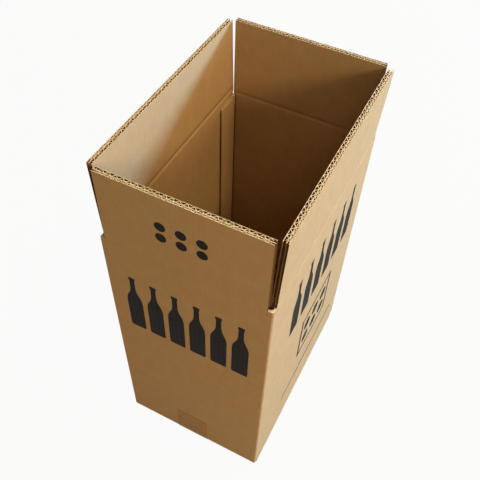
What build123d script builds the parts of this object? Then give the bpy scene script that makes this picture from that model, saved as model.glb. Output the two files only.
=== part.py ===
# Bottle shipping box of double-wall board with four top flaps standing open.
# Millimetres, +Z up, the short front wall faces -Y, the floor is at Z 0.
import os
from math import ceil, radians, sin, sqrt, tan

from build123d import *

# Outside of the walls, and the clear height under the closed short flaps
box_width = 212.0
box_length = 313.0
inner_height = 396.0

# Board: three liners of one paper thickness with a coarse and a fine flute between them
board = 7.0
paper = 0.4
coarse_pitch = 7.9
fine_pitch = 6.4
coarse_share = 0.6
flute_angle = 47.0

# Folds, creases and gaps
fold_radius = 2.5
under_radius = 2.2
crease_inset = 2.0
crease_gap = 0.3
crushed_height = 6.0
layer_gap = 0.4
seam_gap = 5.0

# The open long flaps lean outwards by this angle; the short ones stand straight up
long_lean = 2.0

# Glue tab inside the left wall, crushed thinner than the board, and the raw edge of that wall
# at the back corner
tab_board = 3.0
tab_width = 39.5
tab_clearance = 4.0
raw_edge_setback = 3.0

# Packing tape
tape_width = 50.0
tape_film = 0.2
tape_turn_up = 66.0
tape_bend = 8.5

# Levels and lengths that follow from the sizes above
inner_width = box_width - 2 * board
inner_length = box_length - 2 * board
slot = board + layer_gap
floor_top = slot + board
roll = board - crease_inset
short_wall_top = floor_top + inner_height - crease_gap
short_crease = floor_top + inner_height + roll
long_crease = short_crease + slot
long_wall_top = long_crease - roll - crease_gap
corner_top = (short_crease + long_crease) / 2
long_reach = box_width / 2 - crease_inset - seam_gap / 2
short_reach = long_reach + slot
short_flap_length = box_width - 2 * slot
long_flap_length = box_length - 2 * slot

# The folded sheet: walls first, as one tube with rounded corner folds
with BuildPart() as box_body:
    with BuildSketch(Plane.XY.offset(slot)):
        RectangleRounded(box_width, box_length, fold_radius)
        Rectangle(inner_width, inner_length, mode=Mode.SUBTRACT)
    extrude(amount=short_wall_top - slot)
    under_edge = box_body.faces().sort_by(Axis.Z)[0].outer_wire().edges()
    fillet(under_edge, radius=under_radius)
    # Between the slots the corner folds run on up, to midway between the two creases
    with BuildSketch(Plane.XY.offset(short_wall_top)):
        RectangleRounded(box_width, box_length, fold_radius)
        Rectangle(inner_width, box_length, mode=Mode.SUBTRACT)
        Rectangle(box_width, inner_length, mode=Mode.SUBTRACT)
    extrude(amount=corner_top - short_wall_top)
    # Long walls run from their higher top crease down into the outer bottom flaps
    with BuildSketch(Plane.XZ) as long_fold:
        with BuildLine():
            Polyline(
                (box_width / 2, long_wall_top),
                (box_width / 2, 0),
                (seam_gap / 2, 0),
                (seam_gap / 2, board),
                (inner_width / 2, board),
                (inner_width / 2, long_wall_top),
                close=True,
            )
        make_face()
        outer_corner = long_fold.vertices().group_by(Axis.X)[-1].sort_by(Axis.Z)[0]
        fillet(outer_corner, radius=fold_radius)
    extrude(amount=long_flap_length / 2, both=True)
    # Inner bottom flaps fold in from the short walls, one layer up
    with Locations((0, -box_length / 2 + board / 2, slot)):
        Box(
            short_flap_length,
            short_reach,
            board,
            align=(Align.CENTER, Align.MIN, Align.MIN),
        )
    mirror(about=Plane.YZ)
    mirror(about=Plane.XZ)
    # Glue tab of the back wall, lying on the inside of the left wall
    with Locations((-inner_width / 2, inner_length / 2, floor_top + tab_clearance)):
        Box(
            tab_board,
            tab_width,
            short_wall_top - floor_top - tab_clearance,
            align=(Align.MIN, Align.MAX, Align.MIN),
        )
    # The left wall ends in a raw edge, just short of the rounded fold from back wall to tab
    with BuildSketch():
        with Locations((-box_width / 2, box_length / 2)):
            Rectangle(board + raw_edge_setback, raw_edge_setback, align=(Align.MIN, Align.MAX))
        with Locations((raw_edge_setback - inner_width / 2, box_length / 2 - raw_edge_setback)):
            Circle(raw_edge_setback, mode=Mode.SUBTRACT)
    extrude(amount=corner_top, mode=Mode.SUBTRACT)
    # The tape is pressed into the outer bottom flaps, flush with their underside
    Box(
        tape_width,
        long_flap_length,
        tape_film,
        align=(Align.CENTER, Align.CENTER, Align.MIN),
        mode=Mode.SUBTRACT,
    )


def cut_flutes(length, pitch, height, outer_side):
    # Hollows of one corrugated layer, seen on the cut top edge: two rows that interlock
    # with one paper thickness between them. outer_side is the layer's lower line.
    hollow = height - paper
    base = pitch / 2 + height / tan(radians(flute_angle)) - paper / sin(radians(flute_angle))
    count = ceil(length / pitch) + 1
    with Locations((0, outer_side)):
        with GridLocations(pitch, pitch, count, 1):
            Trapezoid(base, hollow, flute_angle, align=(Align.CENTER, Align.MIN))
    with Locations((pitch / 2, outer_side + height)):
        with GridLocations(pitch, pitch, count, 1):
            Trapezoid(base, hollow, flute_angle, rotation=180, align=(Align.CENTER, Align.MIN))


def fluted_flap(length, reach):
    # One upright flap about its crease line on the X axis, outer face towards -Y.
    # The end below the crease is rolled, so that it turns clear of the wall under it.
    flute_space = board - 3 * paper
    coarse_height = flute_space * coarse_share
    fine_height = flute_space - coarse_height
    fine_side = paper - crease_inset
    coarse_side = fine_side + fine_height + paper
    roll_depth = sqrt(roll**2 - crease_inset**2)
    with BuildPart() as flap:
        with BuildSketch(Plane.YZ):
            with BuildLine():
                ThreePointArc((-crease_inset, -roll_depth), (0, -roll), (roll, 0))
                Polyline((roll, 0), (roll, reach), (-crease_inset, reach), (-crease_inset, -roll_depth))
            make_face()
        extrude(amount=length / 2, both=True)
        with BuildSketch(Plane.XY.offset(reach)):
            cut_flutes(length, fine_pitch, fine_height, fine_side)
            cut_flutes(length, coarse_pitch, coarse_height, coarse_side)
        extrude(amount=crushed_height - reach, mode=Mode.SUBTRACT)
    return flap.part


# Top flaps: a short and a long one, each used on two opposite walls
short_flap = fluted_flap(short_flap_length, short_reach)
long_flap = fluted_flap(long_flap_length, long_reach)
crease_y = box_length / 2 - crease_inset
crease_x = box_width / 2 - crease_inset
leaning = Location((0, 0, 0), (long_lean, 0, 0))

with BuildPart() as front_flap:
    with Locations(Location((0, -crease_y, short_crease))):
        add(short_flap)

with BuildPart() as back_flap:
    with Locations(Location((0, crease_y, short_crease), (0, 0, 180))):
        add(short_flap)

with BuildPart() as left_flap:
    with Locations(Location((-crease_x, 0, long_crease), (0, 0, -90)) * leaning):
        add(long_flap)

with BuildPart() as right_flap:
    with Locations(Location((crease_x, 0, long_crease), (0, 0, 90)) * leaning):
        add(long_flap)

# Tape along the bottom seam: flat under the flaps, then stretched up over each short wall's fold
with BuildPart() as bottom_tape:
    with BuildSketch(Plane.YZ):
        with BuildLine():
            Polyline(
                (-box_length / 2, tape_turn_up),
                (-box_length / 2, tape_bend),
                (-long_flap_length / 2, tape_film),
                (long_flap_length / 2, tape_film),
                (box_length / 2, tape_bend),
                (box_length / 2, tape_turn_up),
                (box_length / 2 + tape_film, tape_turn_up),
                (box_length / 2 + tape_film, tape_bend),
                (long_flap_length / 2, 0),
                (-long_flap_length / 2, 0),
                (-box_length / 2 - tape_film, tape_bend),
                (-box_length / 2 - tape_film, tape_turn_up),
                close=True,
            )
        make_face()
    extrude(amount=tape_width / 2, both=True)

os.makedirs("parts", exist_ok=True)
box_body.part.label = "box_body"
export_step(box_body.part, "parts/box_body.step")
front_flap.part.label = "front_flap"
export_step(front_flap.part, "parts/front_flap.step")
back_flap.part.label = "back_flap"
export_step(back_flap.part, "parts/back_flap.step")
left_flap.part.label = "left_flap"
export_step(left_flap.part, "parts/left_flap.step")
right_flap.part.label = "right_flap"
export_step(right_flap.part, "parts/right_flap.step")
bottom_tape.part.label = "bottom_tape"
export_step(bottom_tape.part, "parts/bottom_tape.step")
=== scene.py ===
from functools import partial
from math import ceil, cos, exp, pi, radians, sin

import bmesh
import bpy
from mathutils import Matrix, Quaternion, Vector, noise
from mathutils.geometry import delaunay_2d_cdt


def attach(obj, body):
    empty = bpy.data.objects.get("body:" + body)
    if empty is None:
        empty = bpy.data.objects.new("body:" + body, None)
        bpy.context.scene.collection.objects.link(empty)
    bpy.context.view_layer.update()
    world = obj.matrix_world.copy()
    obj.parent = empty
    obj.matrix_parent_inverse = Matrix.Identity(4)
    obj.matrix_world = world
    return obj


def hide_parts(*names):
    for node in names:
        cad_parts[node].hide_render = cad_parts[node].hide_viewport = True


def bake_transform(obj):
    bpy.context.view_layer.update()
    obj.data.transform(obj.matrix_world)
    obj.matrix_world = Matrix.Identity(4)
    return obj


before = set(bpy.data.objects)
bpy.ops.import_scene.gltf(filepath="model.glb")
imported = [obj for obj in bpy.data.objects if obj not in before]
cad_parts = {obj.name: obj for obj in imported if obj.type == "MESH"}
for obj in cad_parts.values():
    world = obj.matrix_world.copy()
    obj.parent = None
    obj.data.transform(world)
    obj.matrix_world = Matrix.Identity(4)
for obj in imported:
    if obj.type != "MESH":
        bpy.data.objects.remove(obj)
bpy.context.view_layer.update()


# Folded sheet: the four walls, the glue tab inside the left wall and the four bottom flaps.
# One die-cut blank of double-wall corrugated board with brown kraft liners, creased, folded
# and glued along the tab. Its raw edges show the open channels between the liners.
mm = 0.001
board = 7.0 * mm
paper = 0.4 * mm
coarse_pitch = 7.9 * mm
fine_pitch = 6.4 * mm
fine_share = 0.4
# Where the two fluted layers lie across the board, counted from its outer face
fine_layer = (paper, paper + fine_share * (board - 3 * paper))
coarse_layer = (fine_layer[1] + paper, board - paper)

half_width = 106.0 * mm
half_length = 156.5 * mm
inner_height = 396.0 * mm
long_reach = 101.5 * mm
slot = 7.4 * mm
seam_half = 2.5 * mm
crease_inset = 2.0 * mm
wall_drop = 5.3 * mm
floor_top = slot + board
short_crease = floor_top + inner_height + board - crease_inset
long_crease = short_crease + slot
corner_top = (short_crease + long_crease) / 2
rim = long_crease + long_reach
short_reach = rim - short_crease
short_wall_top = short_crease - wall_drop
inner_half_width = half_width - board
inner_half_length = half_length - board
short_flap_half = half_width - slot
long_flap_half = half_length - slot
inner_flap_end = half_length - board / 2 - short_reach

tab_board = 3.0 * mm
tab_width = 39.5 * mm
tab_fold = 3.0 * mm
tab_clearance = 4.0 * mm
tab_foot = floor_top + tab_clearance
tab_edge = inner_half_length - tab_width
raw_edge_setback = 3.0 * mm
raw_edge = half_length - raw_edge_setback


def new_material(name):
    material = bpy.data.materials.new(name)
    material.use_nodes = True
    nodes = material.node_tree.nodes
    return material, nodes, material.node_tree.links, nodes["Principled BSDF"]


def feed(links, socket, value):
    # Gives a socket a colour or a number, or links it to another node
    if isinstance(value, tuple):
        socket.default_value = (*value, 1.0)
    elif isinstance(value, (int, float)):
        socket.default_value = value
    else:
        links.new(value, socket)


def math_node(nodes, links, operation, *values):
    node = nodes.new("ShaderNodeMath")
    node.operation = operation
    for socket, value in zip(node.inputs, values):
        feed(links, socket, value)
    return node.outputs[0]


def mix_colour(nodes, links, share, first, second):
    # A Mix node takes its colours at inputs 6 and 7 and gives the mixed colour at output 2
    node = nodes.new("ShaderNodeMix")
    node.data_type = "RGBA"
    for index, value in ((0, share), (6, first), (7, second)):
        feed(links, node.inputs[index], value)
    return node.outputs[2]


def ramp_value(nodes, links, value, low, high):
    node = nodes.new("ShaderNodeMapRange")
    node.interpolation_type = "SMOOTHSTEP"
    node.inputs["From Min"].default_value = low
    node.inputs["From Max"].default_value = high
    links.new(value, node.inputs["Value"])
    return node.outputs["Result"]


def noise_value(nodes, links, vector, grain):
    # A grain is its cycles per metre along three axes, its detail and its roughness
    cycles, detail, roughness = grain
    mapping = nodes.new("ShaderNodeMapping")
    mapping.inputs["Scale"].default_value = cycles
    links.new(vector, mapping.inputs["Vector"])
    texture = nodes.new("ShaderNodeTexNoise")
    texture.inputs["Scale"].default_value = 1.0
    texture.inputs["Detail"].default_value = detail
    texture.inputs["Roughness"].default_value = roughness
    links.new(mapping.outputs["Vector"], texture.inputs["Vector"])
    return texture.outputs["Fac"]


# Kraft paper as every board surface shows it. Place is the spot on the flat blank:
# across the flutes, along the flutes, and through the board, all in metres.
cloud_grain = ((70.0, 45.0, 300.0), 5.0, 0.6)
fibre_grain = ((420.0, 2600.0, 900.0), 3.0, 0.6)
dark_fleck_grain = ((900.0, 2100.0, 900.0), 1.0, 0.4)
pale_fleck_grain = ((650.0, 2900.0, 1300.0), 1.0, 0.4)
dark_fleck_range = (0.66, 0.74)
pale_fleck_range = (0.64, 0.74)
cloud_relief = 0.35
kraft_paper = bpy.data.node_groups.new("kraft_paper", "ShaderNodeTree")
kraft_paper.interface.new_socket("Place", in_out="INPUT", socket_type="NodeSocketVector")
for socket_name in ("Cloud", "Fibres", "Dark Flecks", "Pale Flecks", "Fine Wave", "Coarse Wave", "Height"):
    kraft_paper.interface.new_socket(socket_name, in_out="OUTPUT", socket_type="NodeSocketFloat")
nodes, links = kraft_paper.nodes, kraft_paper.links
place = nodes.new("NodeGroupInput").outputs["Place"]
paper_in = nodes.new("NodeGroupOutput").inputs
cloud = noise_value(nodes, links, place, cloud_grain)
fibres = noise_value(nodes, links, place, fibre_grain)
dark_spots = noise_value(nodes, links, place, dark_fleck_grain)
pale_spots = noise_value(nodes, links, place, pale_fleck_grain)
links.new(cloud, paper_in["Cloud"])
links.new(fibres, paper_in["Fibres"])
links.new(ramp_value(nodes, links, dark_spots, *dark_fleck_range), paper_in["Dark Flecks"])
links.new(ramp_value(nodes, links, pale_spots, *pale_fleck_range), paper_in["Pale Flecks"])
links.new(math_node(nodes, links, "MULTIPLY_ADD", cloud, cloud_relief, fibres), paper_in["Height"])
split_place = nodes.new("ShaderNodeSeparateXYZ")
links.new(place, split_place.inputs[0])
for wave_name, pitch in (("Fine Wave", fine_pitch), ("Coarse Wave", coarse_pitch)):
    turns = math_node(nodes, links, "MULTIPLY", split_place.outputs["X"], 2 * pi / pitch)
    swing = math_node(nodes, links, "SINE", turns)
    links.new(math_node(nodes, links, "MULTIPLY_ADD", swing, 0.5, 0.5), paper_in[wave_name])


def kraft_nodes(nodes, links):
    place_node = nodes.new("ShaderNodeAttribute")
    place_node.attribute_name = "board_place"
    paper_node = nodes.new("ShaderNodeGroup")
    paper_node.node_tree = kraft_paper
    links.new(place_node.outputs["Vector"], paper_node.inputs["Place"])
    return paper_node.outputs


def shaded(colour, share):
    return tuple(min(1.0, share * c) for c in colour)


kraft_dark = (0.49, 0.330, 0.170)
kraft_light = (0.525, 0.363, 0.196)
worn_kraft = (0.62, 0.455, 0.275)
# Painted shade for the inner liner just above the creases
crease_shadow_kraft = shaded(kraft_dark, 0.3)
# How strongly a mark shows at most, and its colour
fibre_mark = (0.22, shaded(kraft_dark, 0.78))
dark_fleck_mark = (0.4, shaded(kraft_dark, 0.5))
pale_fleck_mark = (0.3, shaded(kraft_light, 1.25))
# Painted shade along the washboard ridges over the flutes
washboard_shade = (0.05, shaded(kraft_dark, 0.72))
# Which of a pattern's values a blend runs over
middle_range = (0.3, 0.7)
cloud_range = (0.3, 0.72)


def mottled(nodes, links, pattern, dark, light):
    return mix_colour(nodes, links, ramp_value(nodes, links, pattern, *middle_range), dark, light)


def mark_over(nodes, links, colour, mask, mark):
    strength, mark_colour = mark
    share = math_node(nodes, links, "MULTIPLY", mask, strength)
    return mix_colour(nodes, links, share, colour, mark_colour)


def kraft_colour(nodes, links, paper_out):
    cloud_mask = ramp_value(nodes, links, paper_out["Cloud"], *cloud_range)
    colour = mix_colour(nodes, links, cloud_mask, kraft_dark, kraft_light)
    fibre_mask = ramp_value(nodes, links, paper_out["Fibres"], *middle_range)
    colour = mark_over(nodes, links, colour, fibre_mask, fibre_mark)
    colour = mark_over(nodes, links, colour, paper_out["Dark Flecks"], dark_fleck_mark)
    return mark_over(nodes, links, colour, paper_out["Pale Flecks"], pale_fleck_mark)


def add_bump(nodes, links, shader, height, strength, distance):
    bump = nodes.new("ShaderNodeBump")
    bump.inputs["Strength"].default_value = strength
    bump.inputs["Distance"].default_value = distance
    links.new(height, bump.inputs["Height"])
    links.new(bump.outputs["Normal"], shader.inputs["Normal"])


def spot_on_box(nodes, links):
    # Where a surface lies on the box, as a vector and as its three parts
    where = nodes.new("ShaderNodeTexCoord").outputs["Object"]
    apart = nodes.new("ShaderNodeSeparateXYZ")
    links.new(where, apart.inputs[0])
    return where, apart.outputs


def near_face(nodes, links, value, face, depths):
    # Rises towards an outer face on either side of the middle, between two depths under it
    away = math_node(nodes, links, "ABSOLUTE", value)
    return ramp_value(nodes, links, away, face - depths[0], face - depths[1])


# Wear starts and is full at these depths under a face, or levels above the floor
fold_wear = (3.5 * mm, 0.6 * mm)
foot_wear = (12 * mm, 5 * mm)
rubbed_range = (0.35, 0.7)
rubbed_spread = 0.45
rubbed_least = 0.15
fibre_rough = 0.2
liner_rough = 0.66
wave_relief = 0.3


def liner_material(name, wave_name):
    # Smooth liner with the fluted layer behind it showing through as faint washboard ridges with
    # painted shade along them, rubbed paler along the folds, and with painted shade above each crease
    material, nodes, links, shader = new_material(name)
    paper_out = kraft_nodes(nodes, links)
    colour = kraft_colour(nodes, links, paper_out)
    # Painted shade in faint lines along the flutes
    colour = mark_over(nodes, links, colour, paper_out[wave_name], washboard_shade)
    _, spot = spot_on_box(nodes, links)
    near_side = near_face(nodes, links, spot["X"], half_width, fold_wear)
    near_end = near_face(nodes, links, spot["Y"], half_length, fold_wear)
    corner = math_node(nodes, links, "MULTIPLY", near_side, near_end)
    outside = math_node(nodes, links, "MAXIMUM", near_side, near_end)
    low = ramp_value(nodes, links, spot["Z"], *foot_wear)
    low_fold = math_node(nodes, links, "MULTIPLY", low, outside)
    fold = math_node(nodes, links, "MAXIMUM", corner, low_fold)
    rubbed = ramp_value(nodes, links, paper_out["Cloud"], *rubbed_range)
    rubbed = math_node(nodes, links, "MULTIPLY_ADD", rubbed, rubbed_spread, rubbed_least)
    wear = math_node(nodes, links, "MULTIPLY", fold, rubbed)
    colour = mix_colour(nodes, links, wear, colour, worn_kraft)
    # Painted shade just above each crease, as strong as its crease_shade attribute
    crease_shadow = nodes.new("ShaderNodeAttribute")
    crease_shadow.attribute_name = "crease_shade"
    colour = mix_colour(nodes, links, crease_shadow.outputs["Fac"], colour, crease_shadow_kraft)
    links.new(colour, shader.inputs["Base Color"])
    rough = math_node(nodes, links, "MULTIPLY_ADD", paper_out["Fibres"], fibre_rough, liner_rough)
    links.new(rough, shader.inputs["Roughness"])
    shader.inputs["Specular IOR Level"].default_value = 0.12
    relief = math_node(nodes, links, "MULTIPLY_ADD", paper_out[wave_name], wave_relief, paper_out["Height"])
    add_bump(nodes, links, shader, relief, strength=0.35, distance=0.12 * mm)
    return material


outer_liner = liner_material("outer_liner", "Fine Wave")
inner_liner = liner_material("inner_liner", "Coarse Wave")

# Raw cut through the paper: paler and more straw coloured than the liner's face, and darker
# at the foot of the short walls
straw_dark = (0.66, 0.51, 0.30)
straw_light = (0.90, 0.78, 0.52)
foot_darkening = (0.36, 0.235, 0.115)
fray_grain = ((900.0, 900.0, 900.0), 4.0, 0.65)
smudge_grain = ((90.0, 90.0, 90.0), 3.0, 0.55)
smudge_range = (0.5, 0.75)
smudge_mark = (0.35, (0.55, 0.39, 0.21))
darker_end_depths = (12 * mm, 9 * mm)
darker_foot_levels = (18 * mm, 10 * mm)
cut_edge, nodes, links, shader = new_material("cut_edge")
where, spot = spot_on_box(nodes, links)
fray = noise_value(nodes, links, where, fray_grain)
smudge = noise_value(nodes, links, where, smudge_grain)
straw = mottled(nodes, links, fray, straw_dark, straw_light)
straw = mark_over(nodes, links, straw, ramp_value(nodes, links, smudge, *smudge_range), smudge_mark)
# Darker towards the floor near the ends of the short walls
near_end = near_face(nodes, links, spot["Y"], half_length, darker_end_depths)
low = ramp_value(nodes, links, spot["Z"], *darker_foot_levels)
darker_foot = math_node(nodes, links, "MULTIPLY", near_end, low)
straw = mix_colour(nodes, links, darker_foot, straw, foot_darkening)
links.new(straw, shader.inputs["Base Color"])
shader.inputs["Roughness"].default_value = 0.95
shader.inputs["Specular IOR Level"].default_value = 0.2
add_bump(nodes, links, shader, fray, strength=0.6, distance=0.2 * mm)

# Fluting paper inside the board: rougher recycled paper, its brown darkened with painted shade
# so that the open channels between the liners look dark
fluting_dark = (0.20, 0.105, 0.045)
fluting_light = (0.31, 0.185, 0.085)
fluting_grain = ((700.0, 700.0, 350.0), 4.0, 0.6)
stain_grain = ((60.0, 60.0, 60.0), 2.0, 0.55)
stain_range = (0.45, 0.7)
stain_mark = (0.3, (0.16, 0.085, 0.04))
fluting_paper, nodes, links, shader = new_material("fluting_paper")
where = nodes.new("ShaderNodeTexCoord").outputs["Object"]
grain = noise_value(nodes, links, where, fluting_grain)
stain = noise_value(nodes, links, where, stain_grain)
brown = mottled(nodes, links, grain, fluting_dark, fluting_light)
brown = mark_over(nodes, links, brown, ramp_value(nodes, links, stain, *stain_range), stain_mark)
links.new(brown, shader.inputs["Base Color"])
shader.inputs["Roughness"].default_value = 0.92
shader.inputs["Specular IOR Level"].default_value = 0.2
add_bump(nodes, links, shader, grain, strength=0.5, distance=0.15 * mm)

# Black flexo ink: thin over the valleys of the fluting, with pinholes where fibres stand up
ink_dark = (0.005, 0.005, 0.005)
ink_light = (0.009, 0.008, 0.008)
ink_thinning = 0.015
ink_pinholes = 0.10
ink_rough = 0.6
print_ink, nodes, links, shader = new_material("print_ink")
paper_out = kraft_nodes(nodes, links)
kraft = kraft_colour(nodes, links, paper_out)
thin = math_node(nodes, links, "MULTIPLY", paper_out["Fine Wave"], ink_thinning)
bare = math_node(nodes, links, "MULTIPLY_ADD", paper_out["Pale Flecks"], ink_pinholes, thin)
black = mottled(nodes, links, paper_out["Cloud"], ink_dark, ink_light)
links.new(mix_colour(nodes, links, bare, black, kraft), shader.inputs["Base Color"])
rough = math_node(nodes, links, "MULTIPLY_ADD", paper_out["Fibres"], fibre_rough, ink_rough)
links.new(rough, shader.inputs["Roughness"])
shader.inputs["Specular IOR Level"].default_value = 0.08
add_bump(nodes, links, shader, paper_out["Height"], strength=0.3, distance=0.1 * mm)

board_materials = (outer_liner, inner_liner, cut_edge, fluting_paper, print_ink)
OUTER, INNER, CUT, FLUTED, INKED = range(5)


def link_object(name, data):
    made = bpy.data.objects.new(name, data)
    bpy.context.scene.collection.objects.link(made)
    return made


def board_mesh(name, bm):
    mesh = bpy.data.meshes.new(name)
    bm.to_mesh(mesh)
    bm.free()
    for material in board_materials:
        mesh.materials.append(material)
    return mesh


def evaluated_mesh(holder):
    bpy.context.view_layer.update()
    depsgraph = bpy.context.evaluated_depsgraph_get()
    return bpy.data.meshes.new_from_object(holder.evaluated_get(depsgraph))


def add_block(bm, low, high, turn=None, centre=None):
    ends = list(zip(low, high))
    corners = [bm.verts.new((x, y, z)) for x in ends[0] for y in ends[1] for z in ends[2]]
    for face in ((0, 1, 3, 2), (4, 6, 7, 5), (0, 4, 5, 1), (2, 3, 7, 6), (0, 2, 6, 4), (1, 5, 7, 3)):
        bm.faces.new([corners[i] for i in face])
    if turn:
        bmesh.ops.rotate(bm, verts=corners, cent=centre, matrix=Matrix.Rotation(turn, 3, "Z"))


def cut_away(holder, blocks):
    # Cuts blocks out of the holder's mesh; the new faces get the fluting paper
    bm = bmesh.new()
    for block in blocks:
        add_block(bm, *block)
    bmesh.ops.recalc_face_normals(bm, faces=bm.faces)
    cutter_mesh = bpy.data.meshes.new("cutter")
    bm.to_mesh(cutter_mesh)
    bm.free()
    cutter_mesh.materials.append(fluting_paper)
    cutter = link_object("cutter", cutter_mesh)
    modifier = holder.modifiers.new("cut", "BOOLEAN")
    modifier.operation = "DIFFERENCE"
    modifier.solver = "EXACT"
    modifier.material_mode = "TRANSFER"
    modifier.object = cutter
    made = evaluated_mesh(holder)
    holder.modifiers.clear()
    holder.data = made
    bpy.data.objects.remove(cutter)


def between(side, first, second):
    # Two distances from the middle, as the low and high end on one side of it
    return sorted((side * first, side * second))


def outward_turn(side, end):
    # From the X axis to the diagonal that points out of a corner
    return -Vector((1, 0)).angle_signed(Vector((side, end)))


weld = 0.002 * mm
sheet_bm = bmesh.new()
sheet_bm.from_mesh(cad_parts["box_body"].data)
bmesh.ops.remove_doubles(sheet_bm, verts=sheet_bm.verts, dist=weld)
for face in sheet_bm.faces:
    face.material_index = OUTER
folded_sheet = link_object("folded_sheet", board_mesh("folded_sheet", sheet_bm))

edge_depth = 3.5 * mm
rim_depth = 12.0 * mm
beyond = 1.0 * mm

# First the channels that open at a cut across the flutes: tab top and inner bottom flaps.
# The tab is crushed for gluing, so only one low layer of channels is left in it.
tab_layer = (0.4 * mm, 2.6 * mm)
tab_channels = tab_edge + 2 * edge_depth
rim_cuts = [(
    (-inner_half_width + tab_layer[0], tab_channels, short_wall_top - rim_depth),
    (-inner_half_width + tab_layer[1], inner_half_length - tab_fold, short_wall_top + beyond),
)]
for low, high in (fine_layer, coarse_layer):
    for end in (-1, 1):
        span = between(end, inner_flap_end - beyond, inner_flap_end + rim_depth)
        rim_cuts.append((
            (-short_flap_half + edge_depth, span[0], slot + low),
            (short_flap_half - edge_depth, span[1], slot + high),
        ))
cut_away(folded_sheet, rim_cuts)

# Then the grooves along cuts that run with the flutes
tab_groove = 2.2 * edge_depth
raw_edge_foot = slot + 3 * mm
seam_margin = 2 * mm
fold_margin = 4 * mm
side_cuts = [(
    (-inner_half_width + tab_layer[0], tab_edge - beyond, tab_foot - beyond),
    (-inner_half_width + tab_layer[1], tab_edge + tab_groove, short_wall_top + beyond),
)]
for low, high in (fine_layer, coarse_layer):
    side_cuts.append((
        (-half_width + low, raw_edge - edge_depth, raw_edge_foot),
        (-half_width + high, raw_edge + beyond, corner_top + beyond),
    ))
    for end in (-1, 1):
        span = between(end, long_flap_half - edge_depth, long_flap_half + beyond)
        for side in (-1, 1):
            groove = between(side, seam_half + seam_margin, half_width - fold_margin)
            side_cuts.append(((groove[0], span[0], low), (groove[1], span[1], high)))
cut_away(folded_sheet, side_cuts)

# Last the pinched creases in the inner corners, a narrow gap running into each fold.
# A pinch is half the width of its gap and how deep it runs.
corner_pinch = (0.6 * mm, 2.8 * mm)
tab_pinch = (0.8 * mm, 3.0 * mm)
crease_cuts = []
for side, end, inset, foot, (half_gap, deep) in (
    (-1, 1, tab_board, tab_foot, tab_pinch),
    (1, 1, 0, floor_top, corner_pinch),
    (1, -1, 0, floor_top, corner_pinch),
    (-1, -1, 0, floor_top, corner_pinch),
):
    corner = Vector((side * (inner_half_width - inset), end * inner_half_length, 0))
    crease_cuts.append((
        corner + Vector((-beyond, -half_gap, foot)),
        corner + Vector((deep, half_gap, corner_top + beyond)),
        outward_turn(side, end),
        corner,
    ))
cut_away(folded_sheet, crease_cuts)

# At the foot of each slot between two top flaps the corner fold is torn open on the inside
tear_half = 2.6 * mm
tear_depth = 4.6 * mm
tear_foot = short_wall_top + 1.5 * mm
slot_cuts = []
for side in (-1, 1):
    for end in (-1, 1):
        corner = Vector((side * inner_half_width, end * inner_half_length, 0))
        slot_cuts.append((
            corner + Vector((-beyond, -tear_half, tear_foot)),
            corner + Vector((tear_depth, tear_half, corner_top + beyond)),
            outward_turn(side, end),
            corner,
        ))
cut_away(folded_sheet, slot_cuts)

flat_within = 0.01 * mm
outline_weld = 1e-7


def ring_of(faces):
    # The outline of a flat patch of faces, as vertices in order
    chosen = set(faces)
    after = {}
    for face in faces:
        for loop in face.loops:
            if sum(1 for other in loop.edge.link_faces if other in chosen) == 1:
                after[loop.vert] = loop.link_loop_next.vert
    start = next(iter(after))
    ring = [start]
    while after[ring[-1]] is not start:
        ring.append(after[ring[-1]])
    if len(ring) != len(after):
        raise ValueError("the patch to print on has more than one outline")
    return ring


def print_on(bm, axis, level, low, high, shapes):
    # Parts the flat outer face between two heights along the outlines of the print, so that
    # the ink lies in the surface. A shape is an outline and whether it is inked; later ones
    # lie over earlier ones.
    patch = [
        face for face in bm.faces
        if all(abs(v.co[axis] - level) < flat_within and low < v.co.z < high for v in face.verts)
    ]
    ring = ring_of(patch)
    across = 1 - axis
    points = [Vector((v.co[across], v.co.z)) for v in ring]
    faces = [list(range(len(ring)))]
    for outline, inked in shapes:
        faces.append(list(range(len(points), len(points) + len(outline))))
        points += [Vector(p) for p in outline]
    flat, _, parts, flat_from, _, parts_from = delaunay_2d_cdt(points, [], faces, 1, outline_weld, True)
    made = {}
    for i, spot in enumerate(flat):
        known = [k for k in flat_from[i] if k < len(ring)]
        if known:
            made[i] = ring[known[0]]
        else:
            place = Vector((0, 0, spot.y))
            place[axis] = level
            place[across] = spot.x
            made[i] = bm.verts.new(place)
    material = patch[0].material_index
    outward = patch[0].normal.copy()
    bmesh.ops.delete(bm, geom=patch, context="FACES_KEEP_BOUNDARY")
    for part, sources in zip(parts, parts_from):
        if not sources:
            continue
        face = bm.faces.new([made[i] for i in part])
        face.normal_update()
        if face.normal.dot(outward) < 0:
            face.normal_flip()
        top_shape = max(sources)
        inked = top_shape > 0 and shapes[top_shape - 1][1]
        face.material_index = INKED if inked else material


# Half of a plain bottle, as shares of its width and height: straight body, sloping shoulder,
# slim neck with a lip
bottle_profile = (
    (0.42, 0.0), (0.5, 0.018), (0.5, 0.52), (0.485, 0.57), (0.44, 0.615), (0.36, 0.66),
    (0.27, 0.70), (0.20, 0.745), (0.165, 0.80), (0.155, 0.945), (0.195, 0.95), (0.195, 1.0),
)
disc_steps = 28


def bottle_outline(middle, foot, tall, wide):
    right = [(middle + wide * w, foot + tall * h) for w, h in bottle_profile]
    left = [(middle - wide * w, foot + tall * h) for w, h in reversed(bottle_profile)]
    return right + left


def disc_outline(middle, level, radius):
    turns = [2 * pi * i / disc_steps for i in range(disc_steps)]
    return [(middle + radius * cos(t), level + radius * sin(t)) for t in turns]


def block_outline(middle, level, half_across, half_up):
    left, right = middle - half_across, middle + half_across
    foot, top = level - half_up, level + half_up
    return [(left, foot), (right, foot), (right, top), (left, top)]


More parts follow.
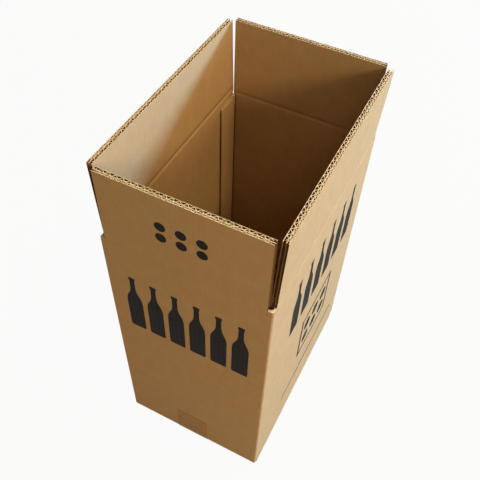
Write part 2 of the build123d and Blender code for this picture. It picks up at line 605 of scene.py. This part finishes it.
def six_bottles(middle, step, foot, tall, wide):
    # Bottles standing side by side
    return [(bottle_outline(middle + (i - 2.5) * step, foot, tall, wide), True) for i in range(6)]


def six_discs(middle, level, across, up, radius):
    # Bottle tops as seen from above, two rows of three
    return [
        (disc_outline(middle + column * across, level + row * up, radius), True)
        for column in (-1, 0, 1) for row in (-0.5, 0.5)
    ]


close = 0.1 * mm
square_on = 0.9
flat_on = 0.9999


def near(value, level):
    return abs(value - level) < close


def sheet_surface(centre, normal):
    # Which of the sheet's papers shows on a face: outer liner, inner liner or a raw cut
    beside, ahead = abs(centre.x), abs(centre.y)
    if normal.z > square_on and centre.z > short_wall_top - close:
        return CUT
    if abs(normal.y) > square_on:
        if near(ahead, long_flap_half) or near(ahead, inner_flap_end) or near(centre.y, raw_edge):
            return CUT
        if near(centre.y, tab_edge) and centre.x < -inner_half_width + board:
            return CUT
    if abs(normal.x) > square_on and (near(beside, seam_half) or near(beside, short_flap_half)):
        return CUT
    if normal.z < -square_on and near(centre.z, tab_foot):
        return CUT
    indoors = beside < inner_half_width + close and ahead < inner_half_length + close
    return INNER if indoors and centre.z > board - close else OUTER


def place_on_blank(mesh):
    # Keeps for each face corner its spot on the flat blank, for the paper's pattern
    places = mesh.attributes.new("board_place", "FLOAT_VECTOR", "CORNER")
    for polygon in mesh.polygons:
        facing = [abs(c) for c in polygon.normal]
        for loop in polygon.loop_indices:
            x, y, z = mesh.vertices[mesh.loops[loop].vertex_index].co
            if facing[1] >= max(facing[0], facing[2]):
                spot = (x, z, y)
            elif facing[0] >= facing[2]:
                spot = (y, z, x)
            elif polygon.center.z > board + close:
                spot = (x, y, z)
            else:
                spot = (y, x, z)
            places.data[loop].vector = spot


sheet_bm = bmesh.new()
sheet_bm.from_mesh(folded_sheet.data)
bmesh.ops.remove_doubles(sheet_bm, verts=sheet_bm.verts, dist=weld)
for face in sheet_bm.faces:
    face.normal_update()
    if face.material_index == OUTER:
        face.material_index = sheet_surface(face.calc_center_median(), face.normal)
    face.smooth = max(abs(c) for c in face.normal) < flat_on

# Print on the front: a row of bottles. On the right wall: a row of bottles, six bottle tops
# in a border, and a plain line.
front_print = six_bottles(middle=0, step=28.5 * mm, foot=262 * mm, tall=104 * mm, wide=22 * mm)
print_on(sheet_bm, axis=1, level=-half_length, low=0, high=rim, shapes=front_print)

border_spot = (20 * mm, 180 * mm)
border_half = (52 * mm, 48 * mm)
border_line = 6 * mm
border_inside = (border_half[0] - border_line, border_half[1] - border_line)
line_spot = (23.5 * mm, 72.5 * mm)
line_half = (96.5 * mm, 2.5 * mm)
side_print = six_bottles(middle=12 * mm, step=35.0 * mm, foot=272 * mm, tall=104 * mm, wide=25 * mm)
side_print.append((block_outline(*border_spot, *border_half), True))
side_print.append((block_outline(*border_spot, *border_inside), False))
side_print += six_discs(*border_spot, across=29 * mm, up=34 * mm, radius=11 * mm)
side_print.append((block_outline(*line_spot, *line_half), True))
print_on(sheet_bm, axis=0, level=half_width, low=0, high=rim, shapes=side_print)

folded_sheet.data = board_mesh("folded_sheet", sheet_bm)
place_on_blank(folded_sheet.data)
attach(folded_sheet, "box_body")
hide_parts("box_body")


# Corrugated layers inside the board: waves of brown fluting paper glued between the liners.
# They show at every edge cut across them. One wave is repeated along the edge, slightly
# crushed here and there by the knife.
cut_slack = 0.4 * mm
crush = 0.5 * mm
# The knife frays the waves, so they show thicker at a cut than their paper is
fine_frayed = 0.95 * mm
coarse_frayed = 0.85 * mm
tab_frayed = 0.7 * mm
board_layers = ((fine_layer, fine_pitch, fine_frayed), (coarse_layer, coarse_pitch, coarse_frayed))
tab_layers = ((tab_layer, coarse_pitch, tab_frayed),)
layer_tree = bpy.data.node_groups.new("corrugated_layer", "GeometryNodeTree")
layer_sockets = {}
layer_sizes = ("Length", "Pitch", "Height", "Paper", "Depth", "Across", "Foot", "Crush", "Seed")
layer_tree.interface.new_socket("Geometry", in_out="INPUT", socket_type="NodeSocketGeometry")
for socket_name in layer_sizes:
    made = layer_tree.interface.new_socket(socket_name, in_out="INPUT", socket_type="NodeSocketFloat")
    layer_sockets[socket_name] = made.identifier
for socket_name in ("Material", "Cut Material"):
    made = layer_tree.interface.new_socket(socket_name, in_out="INPUT", socket_type="NodeSocketMaterial")
    layer_sockets[socket_name] = made.identifier
layer_tree.interface.new_socket("Geometry", in_out="OUTPUT", socket_type="NodeSocketGeometry")

# A whole number of waves fills the length of the edge
nodes, links = layer_tree.nodes, layer_tree.links
layer_math = partial(math_node, nodes, links)
size = nodes.new("NodeGroupInput").outputs
count = layer_math("ROUND", layer_math("DIVIDE", size["Length"], size["Pitch"]))
true_pitch = layer_math("DIVIDE", size["Length"], count)

# One wave: a grid bent into a sine whose crests are cut off flat where they are glued
wave_grid = nodes.new("GeometryNodeMeshGrid")
wave_grid.inputs["Vertices X"].default_value = 13
wave_grid.inputs["Vertices Y"].default_value = 4
links.new(true_pitch, wave_grid.inputs["Size X"])
links.new(size["Depth"], wave_grid.inputs["Size Y"])
grid_spot = nodes.new("ShaderNodeSeparateXYZ")
links.new(nodes.new("GeometryNodeInputPosition").outputs[0], grid_spot.inputs[0])
crest_cut = 1.06
turns = layer_math("MULTIPLY", layer_math("DIVIDE", grid_spot.outputs["X"], true_pitch), 2 * pi)
swing = layer_math("MULTIPLY", layer_math("SINE", turns), crest_cut)
swing = layer_math("MAXIMUM", layer_math("MINIMUM", swing, 1.0), -1.0)
half_swing = layer_math("MULTIPLY", layer_math("SUBTRACT", size["Height"], size["Paper"]), 0.5)
waved = nodes.new("ShaderNodeCombineXYZ")
links.new(grid_spot.outputs["X"], waved.inputs["X"])
links.new(layer_math("MULTIPLY", swing, half_swing), waved.inputs["Y"])
links.new(grid_spot.outputs["Y"], waved.inputs["Z"])
wave = nodes.new("GeometryNodeSetPosition")
links.new(wave_grid.outputs["Mesh"], wave.inputs["Geometry"])
links.new(waved.outputs[0], wave.inputs["Position"])

# The wave repeated along the edge and joined into one sheet
row = nodes.new("GeometryNodeMeshLine")
row_start = nodes.new("ShaderNodeCombineXYZ")
half_row = layer_math("MULTIPLY", layer_math("SUBTRACT", true_pitch, size["Length"]), 0.5)
links.new(half_row, row_start.inputs["X"])
links.new(size["Across"], row_start.inputs["Y"])
links.new(layer_math("MULTIPLY_ADD", size["Depth"], 0.5, size["Foot"]), row_start.inputs["Z"])
row_step = nodes.new("ShaderNodeCombineXYZ")
links.new(true_pitch, row_step.inputs["X"])
links.new(count, row.inputs["Count"])
links.new(row_start.outputs[0], row.inputs["Start Location"])
links.new(row_step.outputs[0], row.inputs["Offset"])
waves_on_row = nodes.new("GeometryNodeInstanceOnPoints")
links.new(row.outputs["Mesh"], waves_on_row.inputs["Points"])
links.new(wave.outputs["Geometry"], waves_on_row.inputs["Instance"])
realized = nodes.new("GeometryNodeRealizeInstances")
links.new(waves_on_row.outputs["Instances"], realized.inputs["Geometry"])
sheet_of_waves = nodes.new("GeometryNodeMergeByDistance")
sheet_of_waves.inputs["Distance"].default_value = 0.02 * mm
links.new(realized.outputs["Geometry"], sheet_of_waves.inputs["Geometry"])

# Crushed unevenly, by a noise about zero
crushed = nodes.new("GeometryNodeSetPosition")
uneven = nodes.new("ShaderNodeTexNoise")
uneven.noise_dimensions = "4D"
uneven.inputs["Scale"].default_value = 190.0
uneven.inputs["Detail"].default_value = 1.0
links.new(nodes.new("GeometryNodeInputPosition").outputs[0], uneven.inputs["Vector"])
links.new(size["Seed"], uneven.inputs["W"])
centred = nodes.new("ShaderNodeVectorMath")
centred.operation = "SUBTRACT"
centred.inputs[1].default_value = (0.5, 0.5, 0.5)
links.new(uneven.outputs["Color"], centred.inputs[0])
pushed = nodes.new("ShaderNodeVectorMath")
pushed.operation = "SCALE"
links.new(centred.outputs[0], pushed.inputs[0])
links.new(size["Crush"], pushed.inputs["Scale"])
links.new(sheet_of_waves.outputs["Geometry"], crushed.inputs["Geometry"])
links.new(pushed.outputs[0], crushed.inputs["Offset"])

# Given the thickness of its paper
thick = nodes.new("GeometryNodeExtrudeMesh")
thick.inputs["Individual"].default_value = False
links.new(crushed.outputs["Geometry"], thick.inputs["Mesh"])
links.new(size["Paper"], thick.inputs["Offset Scale"])
underside = nodes.new("GeometryNodeFlipFaces")
links.new(crushed.outputs["Geometry"], underside.inputs["Mesh"])
both_sides = nodes.new("GeometryNodeJoinGeometry")
links.new(thick.outputs["Mesh"], both_sides.inputs[0])
links.new(underside.outputs["Mesh"], both_sides.inputs[0])
closed = nodes.new("GeometryNodeMergeByDistance")
closed.inputs["Distance"].default_value = 0.005 * mm
links.new(both_sides.outputs[0], closed.inputs["Geometry"])

# Brown inside the board, straw coloured where the knife cut it, and joined to an earlier layer
in_paper = nodes.new("GeometryNodeSetMaterial")
links.new(closed.outputs["Geometry"], in_paper.inputs["Geometry"])
links.new(size["Material"], in_paper.inputs["Material"])
facing = nodes.new("ShaderNodeSeparateXYZ")
links.new(nodes.new("GeometryNodeInputNormal").outputs[0], facing.inputs[0])
on_top = nodes.new("FunctionNodeCompare")
on_top.operation = "GREATER_THAN"
on_top.inputs["B"].default_value = 0.7
links.new(facing.outputs["Z"], on_top.inputs["A"])
cut_top = nodes.new("GeometryNodeSetMaterial")
links.new(in_paper.outputs["Geometry"], cut_top.inputs["Geometry"])
links.new(on_top.outputs["Result"], cut_top.inputs["Selection"])
links.new(size["Cut Material"], cut_top.inputs["Material"])
with_earlier = nodes.new("GeometryNodeJoinGeometry")
links.new(cut_top.outputs["Geometry"], with_earlier.inputs[0])
links.new(size["Geometry"], with_earlier.inputs[0])
links.new(with_earlier.outputs[0], nodes.new("NodeGroupOutput").inputs["Geometry"])


def fluted_layers(name, sites, seed):
    # One mesh from several edges: each has its layers, its length, the depth of its channels,
    # the level of the board's outer face across it, the foot of the channels and its place
    merged = bmesh.new()
    for i, (layers, length, depth, across, foot, place) in enumerate(sites):
        holder = link_object("layers", bpy.data.meshes.new("layers"))
        for (low, high), pitch, thickness in layers:
            modifier = holder.modifiers.new("layer", "NODES")
            modifier.node_group = layer_tree
            values = {
                "Length": length, "Pitch": pitch, "Height": high - low, "Paper": thickness,
                "Depth": depth, "Across": across + (low + high + thickness) / 2, "Foot": foot,
                "Crush": crush, "Seed": seed + i + pitch / mm, "Material": fluting_paper,
                "Cut Material": cut_edge,
            }
            for socket_name, value in values.items():
                modifier[layer_sockets[socket_name]] = value
        made = evaluated_mesh(holder)
        holder.modifiers.clear()
        bpy.data.objects.remove(holder)
        made.transform(place)
        papers = list(made.materials)
        merged.from_mesh(made)
        bpy.data.meshes.remove(made)
    mesh = bpy.data.meshes.new(name)
    merged.to_mesh(mesh)
    merged.free()
    for material in papers:
        mesh.materials.append(material)
    return link_object(name, mesh)


quarter = pi / 2
layer_depth = rim_depth - cut_slack
tab_span = tab_width - tab_fold - cut_slack
tab_middle = Vector((-inner_half_width, inner_half_length - tab_fold - tab_span / 2, short_wall_top))
tab_place = Matrix.Translation(tab_middle) @ Matrix.Rotation(-quarter, 4, "Z")
sheet_sites = [(tab_layers, tab_span - cut_slack, layer_depth, 0.0, -rim_depth, tab_place)]
flap_end_length = 2 * (short_flap_half - edge_depth) - cut_slack
laid_flat = Matrix.Rotation(quarter, 4, "X")
for end, turned in ((-1, 0), (1, pi)):
    flap_end = Matrix.Translation((0, end * inner_flap_end, slot)) @ Matrix.Rotation(turned, 4, "Z")
    sheet_sites.append((board_layers, flap_end_length, layer_depth, 0.0, -rim_depth, flap_end @ laid_flat))
sheet_flutes = fluted_layers("sheet_flutes", sheet_sites, seed=1)
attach(sheet_flutes, "box_body")


# Top flaps: the same sheet above its upper creases, standing open. Each bends at a pressed
# crease, and its three cut edges show the open board: three liners with a fine fluted layer
# towards the outside and a coarse one towards the inside.
outside_u = -crease_inset
inside_u = board - crease_inset
channel_foot = 7.5 * mm
fine_depth = 2.0 * mm
end_groove = 3.5 * mm
end_step = 0.3 * mm
end_channel_foot = -wall_drop + 1.0 * mm
station_step = 3 * mm
# The liners are divided finely about the crease, so that the pressed groove there is smooth
bend_step = 0.4 * mm
bend_levels = [-wall_drop, -4.2 * mm, -3.2 * mm]
bend_levels += [i * bend_step for i in range(-6, 7)]
bend_levels += [3.4 * mm, 4.6 * mm, 6.0 * mm, channel_foot, 14 * mm]
outer_press = 0.15 * mm
outer_run = 1.8 * mm
# Along the cut the liners are frayed thicker, waver sideways and are a little ragged
lip = 2 * mm
lip_fray = 0.25 * mm
rag_band = 3 * mm
rag_from = 6 * mm
face_waver = 0.22 * mm
layer_waver = 0.16 * mm
rag_depth = 0.5 * mm
waver_cycles = Vector((160, 900, 50))
rag_cycles = Vector((300, 500, 1))
rag_seed = 3.3


def flap_outline(reach):
    # Cross-section of a flap's liners: points across the board and up from the crease line,
    # each with the paper on the face that follows it, and which of them are feet of channels
    levels = bend_levels + [reach - rag_from, reach - lip, reach]
    outline = [(outside_u, v, OUTER) for v in levels]
    feet = []
    for (low, high), foot in ((fine_layer, reach - fine_depth), (coarse_layer, channel_foot)):
        low, high = low - crease_inset, high - crease_inset
        outline[-1] = (*outline[-1][:2], CUT)
        outline += [(low + lip_fray, reach, FLUTED), (low, reach - lip, FLUTED)]
        feet += [len(outline), len(outline) + 1]
        outline += [(low, foot, FLUTED), (high, foot, FLUTED)]
        outline += [(high, reach - lip, FLUTED), (high - lip_fray, reach, CUT)]
    outline += [(inside_u, v, INNER) for v in reversed(levels)]
    outline[-1] = (*outline[-1][:2], CUT)
    return outline, feet


def flap_liners(half, reach, groove):
    # The liners of one flap about its crease line: s runs along it, u inwards through the
    # board and v up. Below the channels the board is crushed solid by the crease.
    # Its groove on the inside has a depth and runs out above and below the crease line.
    groove_depth, run_above, run_below = groove
    outline, feet = flap_outline(reach)
    bm = bmesh.new()
    inner_half = half - end_groove
    steps = ceil(2 * inner_half / station_step)
    stations = [-inner_half + 2 * inner_half * i / steps for i in range(steps + 1)]
    stations = [-half, -inner_half - end_step, *stations, inner_half + end_step, half]
    sections = []
    for s in stations:
        # Towards the side edges the groove runs out, so that it doesn't break through the liner
        pressed_in = groove_depth if abs(s) < inner_half - close else paper / 2
        section = []
        for k, (u, v, _) in enumerate(outline):
            # The side edges run along the flutes, so their channels are open all the way down
            if k in feet and abs(s) > inner_half + close:
                v = end_channel_foot
            if v < channel_foot + close:
                if u == inside_u:
                    u -= pressed_in * exp(-((v / (run_above if v > 0 else run_below)) ** 2))
                elif u == outside_u:
                    u += outer_press * exp(-((v / outer_run) ** 2))
            elif v > reach - rag_band:
                share = (v - reach + rag_band) / rag_band
                waver = noise.noise(Vector((s, u, half)) * waver_cycles)
                if u == outside_u:
                    u += share * face_waver * abs(waver)
                elif u == inside_u:
                    u -= share * face_waver * abs(waver)
                else:
                    u += share * layer_waver * waver
                v -= share * rag_depth * abs(noise.noise(Vector((s, u, rag_seed)) * rag_cycles))
            section.append(bm.verts.new((s, u, v)))
        sections.append(section)
    for here, there in zip(sections, sections[1:]):
        for k, (_, _, paper_index) in enumerate(outline):
            following = (k + 1) % len(outline)
            face = bm.faces.new((here[k], here[following], there[following], there[k]))
            face.material_index = paper_index
    for section in (sections[0][::-1], sections[-1]):
        bm.faces.new(section).material_index = FLUTED
    bmesh.ops.remove_doubles(bm, verts=bm.verts, dist=weld)
    bmesh.ops.recalc_face_normals(bm, faces=bm.faces)
    return bm


shade_below = 0.3 * mm
shade_run = 3.6 * mm


def shade_crease(mesh, place, amount):
    # Paints shade on the inner liner just above the crease line
    flat = place.inverted()
    shades = mesh.attributes.new("crease_shade", "FLOAT", "POINT")
    for vertex, shade in zip(mesh.vertices, shades.data):
        _, u, v = flat @ vertex.co
        if u > 0 and v > -shade_below:
            shade.value = amount * exp(-((v / shade_run) ** 2))


print_above_crease = 13 * mm
print_below_rim = 5 * mm
layer_foot = channel_foot + 0.5 * mm


def add_flap(name, half, reach, groove, shade, place, seed, shapes=()):
    bm = flap_liners(half, reach, groove)
    bmesh.ops.transform(bm, matrix=place, verts=bm.verts)
    if shapes:
        bm.normal_update()
        low = place.translation.z + print_above_crease
        high = place.translation.z + reach - print_below_rim
        print_on(bm, axis=1, level=-half_length, low=low, high=high, shapes=shapes)
    mesh = board_mesh(f"{name}_board", bm)
    place_on_blank(mesh)
    shade_crease(mesh, place, shade)
    liners = link_object(f"{name}_board", mesh)
    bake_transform(liners)
    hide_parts(name)
    layer_rise = reach - layer_foot - cut_slack
    site = (board_layers, 2 * (half - end_groove), layer_rise, outside_u, layer_foot, place)
    layers = fluted_layers(f"{name}_flutes", [site], seed)
    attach(layers, name)


crease_y = half_length - crease_inset
crease_x = half_width - crease_inset
long_lean = radians(2.0)
leaning = Matrix.Rotation(long_lean, 4, "X")
front_place = Matrix.Translation((0, -crease_y, short_crease))
back_place = Matrix.Translation((0, crease_y, short_crease)) @ Matrix.Rotation(pi, 4, "Z")
left_place = Matrix.Translation((-crease_x, 0, long_crease)) @ Matrix.Rotation(-quarter, 4, "Z")
right_place = Matrix.Translation((crease_x, 0, long_crease)) @ Matrix.Rotation(quarter, 4, "Z")
# Short creases pressed softly with faint painted shade, long ones sharply with dark painted shade
soft_groove = (0.7 * mm, 3.0 * mm, 2.2 * mm)
soft_shade = 0.1
sharp_groove = (1.1 * mm, 0.9 * mm, 2.8 * mm)
sharp_shade = 0.85
flap_print = six_discs(middle=0, level=473 * mm, across=24 * mm, up=16.5 * mm, radius=6.6 * mm)
short_flap = (short_flap_half, short_reach, soft_groove, soft_shade)
long_flap = (long_flap_half, long_reach, sharp_groove, sharp_shade)
add_flap("front_flap", *short_flap, front_place, seed=10, shapes=flap_print)
add_flap("back_flap", *short_flap, back_place, seed=20)
add_flap("left_flap", *long_flap, left_place @ leaning, seed=30)
add_flap("right_flap", *long_flap, right_place @ leaning, seed=40)


# Packing tape along the bottom seam: brown plastic film with adhesive, torn off at a toothed
# blade, pressed on under the bottom flaps and turned up on both short walls.
tape_half = 25.0 * mm
tape_top = 66.0 * mm
tape_bend = 8.5 * mm
film = 0.1 * mm
film_level = 0.1 * mm
tape_dark = (0.395, 0.24, 0.105)
tape_light = (0.43, 0.27, 0.12)
streak_grain = ((260.0, 30.0, 30.0), 3.0, 0.55)
bubble_grain = ((240.0, 240.0, 240.0), 2.0, 0.55)
bubble_range = (0.58, 0.72)
bubble_mark = (0.3, (0.46, 0.295, 0.14))
bubble_rough = 0.25
tape_rough = 0.36
tape_film, nodes, links, shader = new_material("tape_film")
where = nodes.new("ShaderNodeTexCoord").outputs["Object"]
streaks = noise_value(nodes, links, where, streak_grain)
bubbles = noise_value(nodes, links, where, bubble_grain)
tape_brown = mottled(nodes, links, streaks, tape_dark, tape_light)
lifted = ramp_value(nodes, links, bubbles, *bubble_range)
tape_brown = mark_over(nodes, links, tape_brown, lifted, bubble_mark)
links.new(tape_brown, shader.inputs["Base Color"])
rough = math_node(nodes, links, "MULTIPLY_ADD", bubbles, bubble_rough, tape_rough)
links.new(rough, shader.inputs["Roughness"])
shader.inputs["Specular IOR Level"].default_value = 0.02
add_bump(nodes, links, shader, bubbles, strength=0.35, distance=0.15 * mm)

# Its path down one short wall, over the fold, where it is pulled tight, and in under the box
wall_steps = 12
fold_steps = 6
under_steps = 20
fold_pull = 0.25 * mm
tape_line = half_length + film_level
wall_run = [(tape_line, tape_top - i * (tape_top - tape_bend) / wall_steps) for i in range(wall_steps + 1)]
fold_run = []
for i in range(1, fold_steps):
    share = i / fold_steps
    pulled_in = fold_pull * sin(pi * share)
    fold_run.append((
        tape_line + share * (long_flap_half - tape_line) - pulled_in,
        tape_bend + share * (film_level - tape_bend) + pulled_in,
    ))
under_run = [(long_flap_half * (1 - i / under_steps), film_level) for i in range(under_steps + 1)]
half_path = wall_run + fold_run + under_run
tape_path = [(-y, z) for y, z in half_path] + [(y, z) for y, z in reversed(half_path[:-1])]

tooth_count = 25
tooth_depth = 1.1 * mm
tape_bm = bmesh.new()
tape_rows = []
for k, (y, z) in enumerate(tape_path):
    torn = k in (0, len(tape_path) - 1)
    line = []
    for i in range(2 * tooth_count + 1):
        x = -tape_half + tape_half * i / tooth_count
        notch = tooth_depth if torn and i % 2 else 0
        line.append(tape_bm.verts.new((x, y, z - notch)))
    tape_rows.append(line)
for here, there in zip(tape_rows, tape_rows[1:]):
    for i in range(2 * tooth_count):
        tape_bm.faces.new((here[i], there[i], there[i + 1], here[i + 1])).smooth = True
tape_mesh = bpy.data.meshes.new("bottom_tape_film")
tape_bm.to_mesh(tape_mesh)
tape_bm.free()
tape_mesh.materials.append(tape_film)
tape = link_object("bottom_tape_film", tape_mesh)
thicken = tape.modifiers.new("film", "SOLIDIFY")
thicken.thickness = film
thicken.offset = 0
tape_mesh = evaluated_mesh(tape)
tape.modifiers.clear()
tape.data = tape_mesh
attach(tape, "box_body")
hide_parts("bottom_tape")


# Floor and light: a wide pale floor, cool soft light from windows on the right and behind it,
# weaker warm light from a lamp and a doorway in front, the ceiling and the far wall, and a dim
# room. To the eye the floor and the room are white, apart from the box's shadow.
floor_size = 8.0
floor_level = -0.2 * mm
floor_whiteness = 0.95
floor_bm = bmesh.new()
bmesh.ops.create_grid(floor_bm, x_segments=1, y_segments=1, size=floor_size)
floor_mesh = bpy.data.meshes.new("floor")
floor_bm.to_mesh(floor_mesh)
floor_bm.free()
ground = link_object("floor", floor_mesh)
ground.location.z = floor_level


def seen_by_eye(nodes, links):
    # One on rays that reach the eye directly, or through a gloss or glass
    paths = nodes.new("ShaderNodeLightPath").outputs
    seen = math_node(nodes, links, "MAXIMUM", paths["Is Camera Ray"], paths["Is Glossy Ray"])
    return math_node(nodes, links, "MAXIMUM", seen, paths["Is Transmission Ray"])


def mix_shaders(nodes, links, share, first, second, end):
    mixed = nodes.new("ShaderNodeMixShader")
    links.new(share, mixed.inputs[0])
    links.new(first.outputs[0], mixed.inputs[1])
    links.new(second.outputs[0], mixed.inputs[2])
    links.new(mixed.outputs[0], end.inputs["Surface"])


floor_paint, nodes, links, shader = new_material("floor_paint")
shader.inputs["Base Color"].default_value = (0.31, 0.235, 0.15, 1.0)
shader.inputs["Roughness"].default_value = 0.9
shader.inputs["Specular IOR Level"].default_value = 0.0
white = nodes.new("ShaderNodeEmission")
white.inputs["Strength"].default_value = 1.0
whitened = math_node(nodes, links, "MULTIPLY", seen_by_eye(nodes, links), floor_whiteness)
mix_shaders(nodes, links, whitened, shader, white, nodes["Material Output"])
floor_mesh.materials.append(floor_paint)

scene = bpy.context.scene
scene.view_settings.view_transform = "Standard"
world = bpy.data.worlds.new("room")
scene.world = world
world.use_nodes = True
nodes, links = world.node_tree.nodes, world.node_tree.links
room = nodes["Background"]
room.inputs["Color"].default_value = (1.0, 0.82, 0.62, 1.0)
room.inputs["Strength"].default_value = 0.14
backdrop = nodes.new("ShaderNodeBackground")
backdrop.inputs["Color"].default_value = (1.0, 1.0, 1.0, 1.0)
mix_shaders(nodes, links, seen_by_eye(nodes, links), room, backdrop, nodes["World Output"])

lit_point = Vector((0, 0, 0.4))
light_distance = 2.5


def add_light(name, towards, size, power, colour):
    lamp = bpy.data.lights.new(name, "AREA")
    lamp.shape = "SQUARE"
    lamp.size = size
    lamp.energy = power
    lamp.color = colour
    made = link_object(name, lamp)
    direction = Vector(towards).normalized()
    made.location = lit_point + light_distance * direction
    made.rotation_mode = "QUATERNION"
    made.rotation_quaternion = direction.to_track_quat("Z", "Y")


add_light("window", towards=(2.0, 2.97, 1.08), size=0.4, power=106.0, colour=(0.37, 0.65, 1.0))
add_light("side_window", towards=(1.0, 0.15, 0.12), size=1.0, power=21.0, colour=(0.60, 0.80, 1.0))
add_light("lamp", towards=(1.0, -0.8, 0.62), size=0.5, power=21.0, colour=(1.0, 0.70, 0.38))
add_light("doorway", towards=(0.6, -1.0, 0.0), size=0.9, power=8.0, colour=(1.0, 0.82, 0.58))
add_light("ceiling", towards=(0.45, 0.05, 0.9), size=0.8, power=43.0, colour=(1.0, 0.70, 0.36))
add_light("far_wall", towards=(-0.8, 0.75, 0.0), size=1.2, power=40.0, colour=(1.0, 0.74, 0.48))

camera_data = bpy.data.cameras.new("camera")
camera_data.lens = 47.485
camera = link_object("camera", camera_data)
scene.camera = camera
camera.location = (0.22082, -0.49134, 0.95715)
look = Vector((-0.27041, 0.57899, -0.76919))
roll = Quaternion((0, 0, 1), radians(2.665))
camera.rotation_mode = "QUATERNION"
camera.rotation_quaternion = look.to_track_quat("-Z", "Y") @ roll
